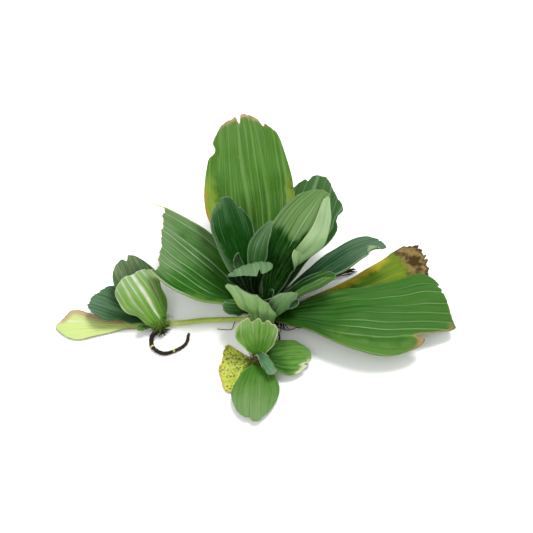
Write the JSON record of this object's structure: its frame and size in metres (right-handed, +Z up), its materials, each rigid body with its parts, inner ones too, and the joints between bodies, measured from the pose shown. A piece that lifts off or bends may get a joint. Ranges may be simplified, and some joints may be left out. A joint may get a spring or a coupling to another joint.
{
  "type": "water lettuce",
  "caption": "Water lettuce lifted from the water: a ribbed leafy rosette on its matted roots, with small daughter rosettes on runners",
  "frame": {"origin": "under the middle of the whole plant's box, on the table it rests on", "axes": "+Z up, +X along the plant's long side from the side daughter to the big right leaf, +Y away from the viewer towards the back leaf"},
  "size_m": [0.2978, 0.2292, 0.0845],
  "materials": {
    "outer_green": "satin",
    "velvet_green": "matte",
    "pale_green": "matte",
    "old_yellow": "matte",
    "runner_green": "satin",
    "crown_brown": "matte",
    "root_brown": "matte"
  },
  "bodies": {
    "root": {"mother_crown": "crown_brown", "side_crown": "crown_brown", "front_crown": "crown_brown", "back_leaf": "outer_green", "torn_left_leaf": "outer_green", "right_leaf": "outer_green", "yellowed_leaf": "old_yellow", "behind_right_leaf": "velvet_green", "narrow_right_leaf": "velvet_green", "inner_left_leaf": "velvet_green", "inner_right_leaf": "pale_green", "folded_right_leaf": "velvet_green", "hooded_leaf": "velvet_green", "rolled_back_leaf": "velvet_green", "front_left_leaf": "pale_green", "front_right_leaf": "pale_green", "small_left_leaf": "velvet_green", "tiny_left_leaf": "velvet_green", "tiny_right_leaf": "velvet_green", "heart_leaf_large": "velvet_green", "heart_leaf_small": "velvet_green", "side_back_leaf": "velvet_green", "side_left_leaf": "velvet_green", "side_cupped_leaf": "pale_green", "side_old_leaf": "old_yellow", "side_young_leaf": "velvet_green", "front_up_leaf": "pale_green", "front_side_leaf": "outer_green", "front_low_leaf": "outer_green", "front_old_leaf": "old_yellow", "front_young_leaf": "pale_green", "side_runner": "runner_green", "front_runner": "runner_green", "mother_root_mat": "root_brown", "mother_root_tail": "root_brown", "side_root": "root_brown", "front_root": "root_brown"}
  },
  "joints": []
}
